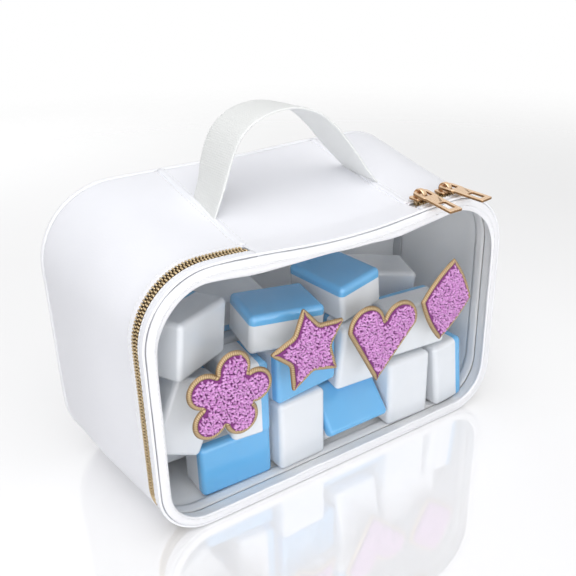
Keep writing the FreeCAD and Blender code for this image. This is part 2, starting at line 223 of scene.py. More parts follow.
def joinMeshes(name, meshes):
    made = bmesh.new()
    for mesh, place in meshes:
        copy = mesh.copy()
        copy.transform(place)
        made.from_mesh(copy)
        bpy.data.meshes.remove(copy)
    return meshObject(name, made, bpy.data.meshes.new(name))


def thicken(thing, thickness):
    shell = thing.modifiers.new("thickness", "SOLIDIFY")
    shell.thickness = thickness * milli
    shell.offset = -1
    shell.use_even_offset = True
    return thing


def creaseAt(thing, degrees):
    edges = thing.modifiers.new("edges", "EDGE_SPLIT")
    edges.split_angle = math.radians(degrees)
    return thing


def dress(thing, body, finish, nodes=()):
    thing.data.materials.append(finish)
    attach(thing, body)
    if nodes:
        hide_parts(*nodes)


def ease(low, high, value):
    share = min(1, max(0, (value - low) / (high - low)))
    return share * share * (3 - 2 * share)


def hump(value, middle, half):
    return math.exp(-((value - middle) / half) ** 2)


def between(start, end, count):
    return [start + (end - start) * step / count for step in range(count)]


def upTo(start, end, count):
    return between(start, end, count) + [end]


def sideAxes(direction):
    forward = direction.normalized()
    across = forward.cross(upAxis if abs(forward.z) < 0.9 else rightAxis).normalized()
    return across, across.cross(forward)


stitch = {"pitch": 3.4, "length": 2.5, "radius": 0.32, "sides": 6}
stitchRings = ((0, 0.35), (0.12, 0.85), (0.5, 1), (0.88, 0.85), (1, 0.35))  # share of length, share of radius


# a short rounded thread between two points
def addStitch(heap, start, end, radius):
    across, up = (axis * radius for axis in sideAxes(end - start))
    frames = [(start.lerp(end, share), across * size, up * size) for share, size in stitchRings]
    addSweep(heap, frames, roundProfile(1, 1, 2, stitch["sides"]))


# stitches along a line of points, a given pitch apart
def addStitchRow(heap, line, pitch=stitch["pitch"], length=stitch["length"], radius=stitch["radius"]):
    walked, target = 0.0, pitch / 2
    for first, second in zip(line, line[1:]):
        span = (second - first).length
        while walked + span >= target and span > 0:
            middle = first.lerp(second, (target - walked) / span)
            reach = (second - first) / span * length / 2
            addStitch(heap, middle - reach, middle + reach, radius)
            target += pitch
        walked += span


# a profile carried along a path; each frame is (middle, across axis, up axis)
def addSweep(heap, frames, profile, closed=False, capped=True, **marks):
    points = [middle + across * a + up * b for middle, across, up in frames for a, b in profile]
    count = len(profile)
    faces = gridFaces(len(frames), count, closed, True)
    if capped and not closed:
        faces.append(tuple(range(count))[::-1])
        faces.append(tuple(range((len(frames) - 1) * count, len(frames) * count)))
    heap.add(points, faces, **marks)


def sweepMesh(name, frames, profile, closed=False, **marks):
    heap = Heap()
    addSweep(heap, frames, profile, closed, **marks)
    return heapMesh(name, heap)


def roundProfile(halfWidth, halfHeight, power=2.0, count=12):
    profile = []
    for angle in between(0, fullTurn, count):
        c, s = math.cos(angle), math.sin(angle)
        profile.append((math.copysign(abs(c) ** (2 / power), c) * halfWidth,
                        math.copysign(abs(s) ** (2 / power), s) * halfHeight))
    return profile


# flat plate cut to loops of points, with rounded edges, lying in XY about z = 0
def cutPlate(name, loops, thickness, edge):
    curve = bpy.data.curves.new(name, "CURVE")
    curve.dimensions = "2D"
    curve.fill_mode = "BOTH"
    curve.extrude = (thickness / 2 - edge) * milli
    curve.bevel_depth = edge * milli
    curve.bevel_resolution = 2
    curve.offset = -edge * milli
    for loop in loops:
        spline = curve.splines.new("POLY")
        spline.points.add(len(loop) - 1)
        spline.use_cyclic_u = True
        for point, (x, y) in zip(spline.points, loop):
            point.co = (x * milli, y * milli, 0, 1)
    holder = addObject(name + "Curve", curve)
    bpy.context.view_layer.update()
    mesh = bpy.data.meshes.new_from_object(holder.evaluated_get(bpy.context.evaluated_depsgraph_get()))
    bpy.data.objects.remove(holder)
    bpy.data.curves.remove(curve)
    return mesh


# corners are (x, y, how far the rounding reaches)
def roundedLoop(corners, steps=5):
    loop = []
    for index, (x, y, reach) in enumerate(corners):
        here = Vector((x, y))
        start, end = (here + (Vector(corners[other % len(corners)][:2]) - here).normalized() * reach
                      for other in (index - 1, index + 1))
        for share in upTo(0, 1, steps):
            loop.append(tuple(start.lerp(here, share).lerp(here.lerp(end, share), share)))
    return loop


def boxLoop(half, top, bottom, reach):
    corners = ((-half, top), (half, top), (half, bottom), (-half, bottom))
    return roundedLoop([(*corner, reach) for corner in corners])


# camera, light and floor
camera = {
    "place": (-248.0, -370.3, 305.9), "target": (-2.4, 0.0, 100.8), "roll": -1.48,
    "lens": 48.72, "sensor": 36, "near": 0.01,
}


def makeCamera():
    data = bpy.data.cameras.new("camera")
    data.lens = camera["lens"]
    data.sensor_width = camera["sensor"]
    data.sensor_fit = "HORIZONTAL"
    data.clip_start = camera["near"]
    place = Vector(camera["place"]) * milli
    ahead = (Vector(camera["target"]) * milli - place).normalized()
    right = ahead.cross(upAxis).normalized()
    up = right.cross(ahead)
    roll = math.radians(camera["roll"])
    right, up = right * math.cos(roll) + up * math.sin(roll), up * math.cos(roll) - right * math.sin(roll)
    thing = addObject("camera", data)
    thing.matrix_world = Matrix.Translation(place) @ Matrix((right, up, -ahead)).transposed().to_4x4()
    bpy.context.scene.camera = thing


studio = {
    "world": 0.2, "floorHalf": 6000, "floorColour": (0.78, 0.78, 0.79), "floorVary": 0.02, "floorGrain": 180,
    "floorGlow": 0.18, "floorRough": 0.03, "floorGloss": 2.8, "floorFade": (480, 1300), "behind": 900,
    "lamps": (
        ("keyLamp", (-800, -850, 240), 900, 5.8),
        ("frontLamp", (100, -1000, 200), 900, 3.6),
        ("topLamp", (-150, -300, 1050), 1300, 8.6),
        ("backLamp", (0, 1000, 480), 800, 2.6),
    ),
}


def makeWorld():
    world = bpy.data.worlds.new("studio")
    bpy.context.scene.world = world
    world.use_nodes = True
    sky = Graph(world.node_tree)
    shown = sky.node("LightPath", output="Is Camera Ray")
    for ray in ("Is Transmission Ray", "Is Glossy Ray"):
        shown = shown.maths("MAXIMUM", shown, sky.node("LightPath", output=ray))
    backdrop = sky.tree.nodes["Background"]
    feed(sky.tree, backdrop.inputs["Color"], (1, 1, 1))
    feed(sky.tree, backdrop.inputs["Strength"], shown * (1 - studio["world"]) + studio["world"])


def makeFloor():
    half = studio["floorHalf"]
    corners = [(x, y, 0) for x, y in ((-half, -half), (half, -half), (half, half), (-half, half))]
    floor = makeMesh("floor", corners, [(0, 1, 2, 3)])
    paint = Finish("paleFloor", Roughness=studio["floorRough"], IOR=studio["floorGloss"], EmissionStrength=1)
    paler = [c + studio["floorVary"] for c in studio["floorColour"]]
    paint.give("BaseColor", paint.mix(paint.cloud(studio["floorGrain"]), studio["floorColour"], paler))
    # a little glow that only the camera sees keeps the floor near white
    glow = paint.node("LightPath", output="Is Camera Ray")
    paint.give("EmissionColor", paint.mix(glow, (0, 0, 0), [studio["floorGlow"]] * 3))
    # further out the floor gives way to the white backdrop
    away = paint.node("VectorMath", {"operation": "LENGTH"}, {0: paint.spot()}, "Value")
    gone = paint.limit(away, *(reach * milli for reach in studio["floorFade"]))
    floor.data.materials.append(paint.layers(gone, paint.skin(), paint.node("BsdfTransparent")))


def makeStudio():
    bpy.context.scene.view_settings.view_transform = "Standard"
    makeWorld()
    for name, place, size, power in studio["lamps"]:
        data = bpy.data.lights.new(name, "AREA")
        data.shape = "DISK"
        data.size = size * milli
        data.energy = power
        lamp = addObject(name, data)
        lamp.location = Vector(place) * milli
        lamp.rotation_euler = (Vector(bagMiddle) * milli - lamp.location).to_track_quat("-Z", "Y").to_euler()
        lamp.visible_glossy = place[1] < studio["behind"]  # the lamp behind isn't mirrored in the floor
    makeFloor()


makeCamera()
makeStudio()
print("camera and studio done")


# outline of the bag at one depth, walked clockwise from the middle of the top
class Outline:
    def __init__(self, width, low, high, topRadius, bottomRadius):
        self.half, self.low, self.high = width / 2, low, high
        self.top, self.bottom = topRadius, bottomRadius
        side = high - low - topRadius - bottomRadius
        topBend, lowBend = topRadius * math.pi / 2, bottomRadius * math.pi / 2
        flat, base = self.half - topRadius, 2 * (self.half - bottomRadius)
        self.marks = [0]
        for run in (flat, topBend, side, lowBend, base, lowBend, side, topBend, flat):
            self.marks.append(self.marks[-1] + run)
        self.length = self.marks[-1]

    # place and outward direction at a distance along the outline
    def at(self, distance):
        distance %= self.length
        leg = max(index for index in range(9) if self.marks[index] <= distance)
        run = distance - self.marks[leg]
        if leg == 0:
            return run, self.high, 0, 1
        if leg == 8:
            return run - self.half + self.top, self.high, 0, 1
        if leg == 4:
            return self.half - self.bottom - run, self.low, 0, -1
        if leg == 2:
            return self.half, self.high - self.top - run, 1, 0
        if leg == 6:
            return -self.half, self.low + self.bottom + run, -1, 0
        side = 1 if leg < 4 else -1
        upper = leg in (1, 7)
        radius = self.top if upper else self.bottom
        turn = math.pi / 2 - run / radius if leg in (3, 7) else run / radius
        nx, nz = side * math.sin(turn), (1 if upper else -1) * math.cos(turn)
        cz = self.high - radius if upper else self.low + radius
        return side * (self.half - radius) + nx * radius, cz + nz * radius, nx, nz


# width, height, top and bottom radius of both faces, then depths and the places of the seams
bag = {
    "front": (250.0, 157.0, 40.0, 30.0), "back": (270.0, 175.0, 46.0, 38.0),
    "crease": -55.5, "mouth": -36.7, "backSeam": 55.5, "flapLift": 1.0, "crossSeam": 57.0, "baseSeam": 82.0,
}


def bodyOutline(depth, inset=0.0):
    share = max(0, (depth - bag["mouth"]) / (bag["backSeam"] - bag["mouth"]))
    width, height, top, bottom = (a + (b - a) * share for a, b in zip(bag["front"], bag["back"]))
    return Outline(width - 2 * inset, inset, height - inset, top - inset, bottom - inset)


def flapOutline(inset=0.0):
    width, *rest = bag["front"]
    return Outline(width - 2 * inset, bag["flapLift"] + inset, *(size - inset for size in rest))


flapLine = flapOutline()

# how the limp leatherette settles: the crease dips, the top dents and the sides swell
slack = {
    "sag": 5.0, "sagMiddle": 4, "sagHalf": 84, "sagFade": 0.85,
    "sagDepths": (-57, 40), "sagHeights": (108, 152),
    "dents": ((2.4, 30, 26, -12, 20), (1.44, -28, 22, 26, 20)),  # depth, middle and half size in x, in y
    "belly": 3.2, "bellySides": (75, 118), "bellyHeight": 168, "bellyMiddle": 10, "bellyHalf": 52,
    "crumple": 0.9, "crumpleSize": (55, 42, 50), "crumpleDepths": (-42, -22), "crumpleHeights": (2, 25),
    "crumpleDeep": 0.5, "liftHeights": (6, 40),
}


def soften(x, y, z):
    dip = max(0, 1 - ((x - slack["sagMiddle"]) / slack["sagHalf"]) ** 2) ** 2
    drop = slack["sag"] * dip * (1 - slack["sagFade"] * ease(*slack["sagDepths"], y))
    for deep, middleX, halfX, middleY, halfY in slack["dents"]:
        drop += deep * hump(x, middleX, halfX) * hump(y, middleY, halfY)
    swell = ease(*slack["bellySides"], abs(x)) * math.sin(math.pi * min(1, max(0, z / slack["bellyHeight"])))
    swell *= max(0, 1 - ((y - slack["bellyMiddle"]) / slack["bellyHalf"]) ** 2)
    loose = ease(*slack["crumpleHeights"], z) * ease(*slack["crumpleDepths"], y)
    place = Vector(c / size for c, size in zip((x, y, z), slack["crumpleSize"]))
    wave = noise.noise_vector(place) * slack["crumple"] * loose
    return Vector((x + math.copysign(slack["belly"] * swell, x) + wave.x, y + slack["crumpleDeep"] * wave.y,
                   z - drop * ease(*slack["sagHeights"], z) + wave.z * ease(*slack["liftHeights"], z)))


def wallPoint(outline, distance, depth, rise=0.0):
    x, z, nx, nz = outline.at(distance)
    return soften(x + nx * rise, depth, z + nz * rise)


# sewn shell: how its panels' edges roll under, and how finely they are cut
shell = {
    "rolls": (0.3, 0.8, 1.6, 2.8), "rollClear": 3.2, "rollReach": 1.7, "sideRoll": 0.8, "rearRoll": 0.9,
    "gussetFront": -42.1, "gussetRoll": 0.9, "gussetRows": 30,
    "topFront": -55.9, "topRoll": 1.1, "topRows": 40, "rear": 55.0, "rowClear": 4.5,
    "topSteps": [44], "baseSteps": [40], "sideSteps": [8, 18, 26, 16, 4],
}


# steps close together at both ends, where an edge rolls under
def rolledEnds(start, end, inner):
    rolls = shell["rolls"]
    return ([start] + [start + roll for roll in rolls] + inner
            + [end - roll for roll in reversed(rolls)] + [end])


# distances along an outline that each panel covers
def panelRuns(outline, panel):
    marks, seam = outline.marks, bag["crossSeam"]
    spare = outline.half - outline.bottom - bag["baseSeam"]
    right = [seam, marks[1], marks[2], marks[3], marks[4], marks[4] + spare]
    stops, counts = {
        "top": ([-seam, seam], shell["topSteps"]),
        "base": ([marks[4] + spare, marks[5] - spare], shell["baseSteps"]),
        "right": (right, shell["sideSteps"]),
        "left": ([outline.length - run for run in reversed(right)], shell["sideSteps"][::-1]),
    }[panel]
    runs = []
    for start, end, count in zip(stops, stops[1:], counts):
        runs += between(start, end, count)
    first, last, clear = stops[0], stops[-1], shell["rollClear"]
    return rolledEnds(first, last, [run for run in runs[1:] if first + clear < run < last - clear])


def edgeRows(start, end, count):
    clear = shell["rowClear"]
    return rolledEnds(start, end, upTo(start + clear, end - clear, count))


def rollUnder(gap, deep):
    return -deep * max(0, 1 - gap / shell["rollReach"]) ** 2


def panelSkin(name, panel, depths, frontRoll):
    points = []
    for depth in depths:
        outline = bodyOutline(depth)
        runs = panelRuns(outline, panel)
        for run in runs:
            rise = rollUnder(min(run - runs[0], runs[-1] - run), shell["sideRoll"])
            rise += rollUnder(depth - depths[0], frontRoll) + rollUnder(depths[-1] - depth, shell["rearRoll"])
            points.append(wallPoint(outline, run, depth, rise))
    return makeMesh(name, points, gridFaces(len(depths), len(runs)), facing=bagMiddle)


def leatherFinish(name, pale, shade, rough, grain):
    skin = Finish(name, SpecularIORLevel=0.45, SheenWeight=0.08, SheenRoughness=0.5)
    broad, fine = skin.cloud(70, 3), skin.cloud(9, 3)
    skin.give("BaseColor", skin.mix(broad * 0.7 + fine * 0.3, shade, pale))
    pores = skin.cells(1.1) * 0.7 + skin.cloud(0.5, 2) * 0.3
    skin.give("Roughness", rough + (fine - 0.5) * 0.14 + (pores - 0.5) * 0.08)
    return skin.relief(pores + broad * 6, grain)


# pale and shaded colour, roughness, depth of the grain
leathers = {
    "whiteLeatherette": ((0.88, 0.885, 0.925), (0.82, 0.83, 0.885), 0.42, 0.05),
    "whitePiping": ((0.88, 0.885, 0.91), (0.82, 0.83, 0.87), 0.36, 0.03),
    "whiteBinding": ((0.85, 0.85, 0.87), (0.77, 0.775, 0.81), 0.40, 0.03),
    "sewingThread": ((0.86, 0.86, 0.87), (0.76, 0.77, 0.79), 0.6, 0.02),
}
leatherette, pipingSkin, ribbonSkin, threadSkin = (leatherFinish(key, *row) for key, row in leathers.items())


def clothFinish(name, pale, shade, pitch, depth):
    cloth = Finish(name, Roughness=0.8, SheenWeight=0.2)
    x, y, z = (cloth.node("SeparateXYZ", None, {0: cloth.spot()}, axis) for axis in range(3))
    weave = cloth.ridges(x + z, pitch * milli) * 0.5 + cloth.ridges(y + z * 0.6, pitch * milli) * 0.5
    broad = cloth.cloud(45, 3)
    cloth.give("BaseColor", cloth.mix(broad * 0.75 + weave * 0.25, shade, pale))
    return cloth.relief(weave + broad * 8, depth)


# pale and shaded colour, pitch and depth of the weave
cloths = {
    "paleLining": ((0.94, 0.945, 0.955), (0.88, 0.89, 0.905), 0.8, 0.05),
    "greyBinding": ((0.60, 0.62, 0.65), (0.50, 0.52, 0.55), 1.1, 0.09),
    "zipTape": ((0.90, 0.90, 0.91), (0.82, 0.825, 0.84), 0.9, 0.10),
}
liningCloth, bindingCloth, tapeCloth = (clothFinish(key, *row) for key, row in cloths.items())


def makeShell():
    rows = edgeRows(shell["gussetFront"], shell["rear"], shell["gussetRows"])
    for name, panel, node in (("leftGusset", "left", "left_gusset"), ("rightGusset", "right", "right_gusset"),
                              ("basePanel", "base", "base_panel")):
        skin = panelSkin(name, panel, rows, shell["gussetRoll"])
        dress(skin, "bag_body", leatherette, [node])
    # the top panel runs on over the crease, where it is the flap's cloth hinge
    rows = edgeRows(shell["topFront"], shell["rear"], shell["topRows"])
    skin = panelSkin("topPanel", "top", rows, shell["topRoll"])
    skin.data.materials.append(leatherette)
    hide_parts("top_panel")
    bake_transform(skin)


# a sheet that fills an outline, in rings from its middle to its edge
def discSheet(name, outline, rings, count, place, facing):
    points, middle = [], (outline.high + outline.low) / 2
    for ring in range(1, rings + 1):
        share = ring / rings
        for run in between(0, outline.length, count):
            x, z, nx, nz = outline.at(run)
            points.append(place(x * share, middle + (z - middle) * share, share))
    points.append(place(0, middle, 0))
    faces = gridFaces(rings, count, False, True)
    faces += [(len(points) - 1, (step + 1) % count, step) for step in range(count)]
    return makeMesh(name, points, faces, facing=facing)


back = {
    "inset": 3.3, "bulge": 3.0, "billow": 0.7, "billowSize": 50, "roll": 1.6, "rollPower": 24,
    "rings": 26, "steps": 180,
    "pipingRadius": 1.9, "pipingInset": 1.5, "pipingRear": 1.7, "pipingSteps": 320,
    "standInset": 0.45, "standHeights": (0, 12),  # the bag stands beside its piping, not on it
}


def makeBack():
    seam = bag["backSeam"]

    def outside(x, z, share):
        swell = back["bulge"] * (1 - share ** 2) + back["roll"] * (1 - share ** back["rollPower"])
        swell += back["billow"] * noise.noise(Vector((x / back["billowSize"], 3.1, z / back["billowSize"])))
        return soften(x, seam, z) + rearAxis * swell

    outline = bodyOutline(seam, back["inset"])
    skin = discSheet("backPanel", outline, back["rings"], back["steps"], outside, bagMiddle)
    dress(skin, "bag_body", leatherette, ["back_panel"])
    # piping in the back seam
    frames, outline = [], bodyOutline(seam)
    for run in between(0, outline.length, back["pipingSteps"]):
        x, z, nx, nz = outline.at(run)
        outward = Vector((nx, 0, nz))
        inset = back["pipingInset"] + back["standInset"] * (1 - ease(*back["standHeights"], z))
        middle = soften(x, seam, z) - outward * inset + rearAxis * back["pipingRear"]
        frames.append((middle, outward, rearAxis))
    piping = sweepMesh("backPiping", frames, roundProfile(back["pipingRadius"], back["pipingRadius"]), True)
    dress(piping, "bag_body", pipingSkin, ["back_piping"])


inside = {
    "gap": 2.2, "front": -40.2, "rear": 53.6, "rows": 30, "steps": 220,
    "sheetDepth": 53.4, "sheetRings": 22, "crease": 0.8, "creaseSize": (40, 34), "creasePower": 6,
    "bindingDepths": (44.2, 44.5, 46, 48.5, 51, 52.8, 53.2), "bindingSteps": 300, "bindingGap": 3.0,
    "bindingThick": 0.7, "pucker": 0.35, "puckerTurn": 0.9, "puckerDepths": (44, 49),
}


# a band all the way round the bag, with a row of points at each depth
def ringSkin(name, depths, count, rise):
    points = []
    for depth in depths:
        outline = bodyOutline(depth)
        for step in range(count):
            points.append(wallPoint(outline, outline.length * step / count, depth, rise(step, depth)))
    return makeMesh(name, points, gridFaces(len(depths), count, False, True), facing=bagMiddle)


def makeInside():
    def puckered(step, depth):
        pucker = math.sin(step * inside["puckerTurn"]) * ease(*inside["puckerDepths"], depth)
        return -inside["bindingGap"] - inside["pucker"] * pucker

    def sheet(x, z, share):
        sizeX, sizeZ = inside["creaseSize"]
        crease = inside["crease"] * noise.noise(Vector((x / sizeX, 7.7, z / sizeZ)))
        return soften(x, inside["sheetDepth"], z) + rearAxis * crease * (1 - share ** inside["creasePower"])

    rows = upTo(inside["front"], inside["rear"], inside["rows"])
    wall = ringSkin("gussetLining", rows, inside["steps"], lambda *_: -inside["gap"])
    dress(wall, "bag_body", liningCloth, ["gusset_lining"])
    outline = bodyOutline(inside["sheetDepth"], inside["gap"])
    wall = discSheet("backLining", outline, inside["sheetRings"], inside["steps"], sheet, bagMiddle)
    dress(wall, "bag_body", liningCloth, ["back_lining"])
    # tape that binds the seam inside, slightly puckered
    tape = ringSkin("seamBinding", inside["bindingDepths"], inside["bindingSteps"], puckered)
    dress(thicken(tape, inside["bindingThick"]), "bag_body", bindingCloth, ["seam_binding"])


seams = {
    "weltWidth": 1.7, "weltHeight": 0.9, "weltSink": 0.1, "front": -41.0, "rear": 55.0, "steps": 48,
    "stitchSetback": 3.2, "stitchSink": 0.05, "zipStitch": -38.9, "zipStart": 60.0, "zipSteps": 260,
    "standBelow": 3, "standSink": 0.4, "baseSetback": 3.0, "baseSink": 0.35,
}


def makeSeams():
    threads = Heap()
    depths = upTo(seams["front"], seams["rear"], seams["steps"])
    for name, side in (("Left", -1), ("Right", 1)):
        frames, rows = [], ([], [])
        for depth in depths:
            outline, run = bodyOutline(depth), side * bag["crossSeam"]
            frames.append((wallPoint(outline, run, depth, -seams["weltSink"]), rightAxis, upAxis))
            for row, shift in zip(rows, (-seams["stitchSetback"], seams["stitchSetback"])):
                row.append(wallPoint(outline, run + shift, depth, -seams["stitchSink"]))
        profile = roundProfile(seams["weltWidth"], seams["weltHeight"], 2.4, 14)
        welt = sweepMesh("crossSeam" + name, frames, profile)
        dress(welt, "bag_body", leatherette, ["cross_seam_" + name.lower()])
        for row in rows:
            addStitchRow(threads, row)
    # stitching beside the zip, sunk where the bag stands on it
    outline, line = bodyOutline(seams["zipStitch"]), []
    for run in upTo(seams["zipStart"], outline.length - seams["zipStart"], seams["zipSteps"]):
        sink = seams["stitchSink"] if outline.at(run)[1] > seams["standBelow"] else seams["standSink"]
        line.append(wallPoint(outline, run, seams["zipStitch"], -sink))
    addStitchRow(threads, line)
    # stitching beside the base seams
    for aside in (-bag["baseSeam"] - seams["baseSetback"], bag["baseSeam"] + seams["baseSetback"]):
        line = []
        for depth in depths:
            outline = bodyOutline(depth)
            middle = outline.marks[4] + outline.half - outline.bottom
            line.append(wallPoint(outline, middle - aside, depth, -seams["baseSink"]))
        addStitchRow(threads, line)
    dress(heapMesh("bodyStitching", threads), "bag_body", threadSkin)


makeShell()
makeBack()
makeInside()
makeSeams()
print("shell, lining and seams done")


# zip: woven tape, two rows of cast teeth that mesh, and the flap's leatherette rim
zipper = {
    "bodyRow": -43.95, "flapRow": -47.45, "wide": 3.0, "long": 1.1, "thick": 2.2, "sink": 0.9, "pitch": 1.95,
    "headLong": 0.72, "headThick": 0.86, "bevel": 0.3,
    "bedSink": 1.5, "bedStart": 3, "bedEnd": 1, "bedStep": 2,
    "start": 61.5, "finish": 59.2, "endStretch": 93.1, "splitTooth": 0.8, "splitBed": 0.4, "splitBand": 0.3,
    "tapeThick": 0.6, "tapeRises": (-2.2, -2.3, -2.2, -2.0), "rimThick": 1.2,
    "bodyTape": (-45.3, -43.0, -40.0, -37.5), "flapTape": (-46.1, -47.0, -49.5, -54.0),
    "endTape": (-46.1, -47.0, -49.5, -52.8),
    "rimRises": (-0.75, -0.3, 0.0, 0.15, 0.2, 0.1, -0.3, -0.9),
    "flapRim": (-49.1, -49.4, -49.9, -50.7, -52.3, -53.6, -54.6, -55.2),
    "endRim": (-49.1, -49.4, -49.9, -50.7, -52.3, -52.6, -53.2, -53.5),
    "stitchDepth": -51.0, "stitchRise": 0.25,
}
# bright and dark are brass tones that vary at random; the third colour is painted shadow for the strip under
# the teeth
teethFinish = {
    "bright": (0.68, 0.54, 0.33), "dark": (0.26, 0.17, 0.075), "bed": (0.07, 0.045, 0.02), "rough": 0.26,
}


def toothShape():
    made = bmesh.new()
    bmesh.ops.create_cube(made, size=1)
    for corner in made.verts:
        head = corner.co.y > 0  # the end that meshes is slimmer
        corner.co.x *= zipper["long"] * (zipper["headLong"] if head else 1)
        corner.co.y *= zipper["wide"]
        corner.co.z *= zipper["thick"] * (zipper["headThick"] if head else 1)
    bmesh.ops.bevel(made, geom=made.edges[:], offset=zipper["bevel"], segments=2, profile=0.6, affect="EDGES")
    made.verts.index_update()
    points = [corner.co.copy() for corner in made.verts]
    faces = [[corner.index for corner in face.verts] for face in made.faces]
    made.free()
    return points, faces


def bandSkin(name, span, rises, thickness, count):
    runs, depths = upTo(*span, count), zipper[name]
    points = [wallPoint(flapLine, run, depth, rise) for depth, rise in zip(depths, rises) for run in runs]
    return thicken(makeMesh(name, points, gridFaces(len(depths), len(runs)), facing=bagMiddle), thickness)


def brassFinish():
    metal = Finish("brassTeeth", Metallic=1.0)
    stain, grain = metal.cloud(1.3, 3), metal.cloud(0.35, 2)
    worn = metal.limit(stain, 0.2, 0.6)
    skin = metal.mix(worn, teethFinish["dark"], teethFinish["bright"])
    # painted shadow: the marked strip under the teeth is coloured near black
    metal.give("BaseColor", metal.mix(metal.measure("bed"), skin, teethFinish["bed"]))
    metal.give("Roughness", teethFinish["rough"] + (1 - worn) * 0.25)
    return metal.relief(grain, 0.03)


def makeTeeth():
    brass = brassFinish()
    points, faces = toothShape()
    heaps = {"body": Heap(), "flap": Heap(), "end": Heap()}

    def addTooth(key, run, depth, across):
        x, z, nx, nz = flapLine.at(run)
        out, along = Vector((nx, 0, nz)), Vector((nz, 0, -nx))
        middle = wallPoint(flapLine, run, depth, -zipper["sink"])
        tooth = [middle + along * p.x + across * p.y + out * p.z for p in points]
        heaps[key].add(tooth, faces, bed=[0.0] * len(points))

    # painted shadow: a near-black strip under the teeth that stands in for the shade between them
    def addShadowStrip(key, row, start, end):
        runs = upTo(start, end, int((end - start) / zipper["bedStep"]))
        edges = (row - zipper["wide"] / 2, row + zipper["wide"] / 2)
        strip = [wallPoint(flapLine, run, edge, -zipper["bedSink"]) for edge in edges for run in runs]
        heaps[key].add(strip, gridFaces(2, len(runs)), bed=[1.0] * len(strip))

    run, last, split = zipper["start"], flapLine.length - zipper["finish"], zipper["endStretch"]
    while run < last:
        addTooth("body", run, zipper["bodyRow"], -rearAxis)
        partner = run + zipper["pitch"] / 2
        if abs(partner - split) > zipper["splitTooth"]:
            addTooth("end" if partner < split else "flap", partner, zipper["flapRow"], rearAxis)
        run += zipper["pitch"]
    start, end = zipper["start"] + zipper["bedStart"], last + zipper["bedEnd"]
    addShadowStrip("body", zipper["bodyRow"], start, end)
    addShadowStrip("flap", zipper["flapRow"], split + zipper["splitBed"], end)
    addShadowStrip("end", zipper["flapRow"], start, split - zipper["splitBed"])
    for key, body, node in (("body", "bag_body", "zip_teeth_body"), ("flap", "front_flap", "zip_teeth_flap"),
                            ("end", "bag_body", "zip_end_teeth")):
        dress(heapMesh(key + "Teeth", heaps[key]), body, brass, [node])


def makeBands():
    gap, split = zipper["splitBand"], zipper["endStretch"]
    first, last = bag["crossSeam"] + gap, flapLine.length - bag["crossSeam"] - gap
    whole, ahead, parked = (first, last), (split + gap, last), (first, split - gap)
    for name, body, span, count, node in (("bodyTape", "bag_body", whole, 300, "zip_tape_body"),
                                          ("flapTape", "front_flap", ahead, 300, "zip_tape_flap"),
                                          ("endTape", "bag_body", parked, 30, "zip_end_tape")):
        band = bandSkin(name, span, zipper["tapeRises"], zipper["tapeThick"], count)
        dress(band, body, tapeCloth, [node])
    # leatherette rim between the teeth and the piping
    for name, body, span, count in (("flapRim", "front_flap", ahead, 320),
                                    ("endRim", "bag_body", parked, 30)):
        band = bandSkin(name, span, zipper["rimRises"], zipper["rimThick"], count)
        dress(band, body, leatherette)
    for name, start, end, body in (("rimStitching", split + 2, last - 1, "front_flap"),
                                   ("endStitching", first + 1, split - 2, "bag_body")):
        threads, runs = Heap(), upTo(start, end, int((end - start) / 2))
        line = [wallPoint(flapLine, run, zipper["stitchDepth"], zipper["stitchRise"]) for run in runs]
        addStitchRow(threads, line)
        dress(heapMesh(name, threads), body, threadSkin)


makeTeeth()
makeBands()
print("zip done")


# flap: piping on the crease, folded ribbon round the window, the clear sheet
flap = {
    "pipingRadius": 0.8, "pipingInset": 0.4, "pipingSteps": 360,
    "ribbonInset": 4.2, "ribbonHalf": 2.65, "ribbonThick": 1.2, "ribbonDepth": -55.95, "ribbonSteps": 420,
    "ribbonSway": 0.35, "swaySize": 21, "ribbonLift": 0.2, "liftSize": 13,
    "lipTop": 2.4, "lipSide": 0.3, "lipLeast": 0.2, "lipThick": 0.45, "lipHeights": (100, 150),
    "lipRoot": ((4.6, -56.7), (6.3, -56.7)), "lipEdge": 6.5, "lipBend": 0.6, "lipMiddle": -56.5,
    "lipRim": -56.25, "lipCurl": 0.25, "lipWave": 1.9, "lipNoise": 0.4, "lipNoiseSize": 24,
    "lipHumps": ((1, -62, 22), (1, 44, 18), (-0.6, -8, 26)),
    "stitchUp": 1.42, "stitchIn": 1.5, "stitchPitch": 3.6, "stitchLength": 2.6, "stitchRadius": 0.26,
    "sheetInset": 4.8, "sheetDepth": -55.75, "sheetRings": 30, "sheetSteps": 200,
    "ripple": 0.3, "ripplePower": 6, "ripples": ((1, 60, 4.2, 75), (0.4, 24, 9.1, 40)),
}
vinylFinish = {"tint": (0.93, 0.94, 0.96), "haze": 0.025, "shine": 0.9, "rough": 0.04}


def ringFrames(inset, depth, count):
    frames = []
    for run in between(0, flapLine.length, count):
        x, z, nx, nz = flapLine.at(run)
        frames.append((wallPoint(flapLine, run, depth, -inset), Vector((nx, 0, nz)), rearAxis))
    return frames


def vinylSheet():
    film = Finish("clearVinyl", BaseColor=vinylFinish["tint"], SpecularIORLevel=0.6, IOR=1.46)
    smear = film.cloud(38, 3, stretch=(1, 1, 0.5))
    film.give("Roughness", vinylFinish["rough"] + film.limit(smear, 0.4, 0.8) * 0.08)
    film.relief(film.cloud(26, 2, stretch=(1, 1, 0.6)) + film.cloud(7, 2) * 0.05, 0.5)
    # the same from both sides of the sheet, so that light comes in as well as it goes out
    rim = film.node("LayerWeight", None, {"Blend": 0.5}, "Facing") ** 5
    share = rim * vinylFinish["shine"] + vinylFinish["haze"] + film.limit(smear, 0.35, 0.8) * 0.03
    return film.layers(share, film.node("BsdfTransparent"), film.skin())


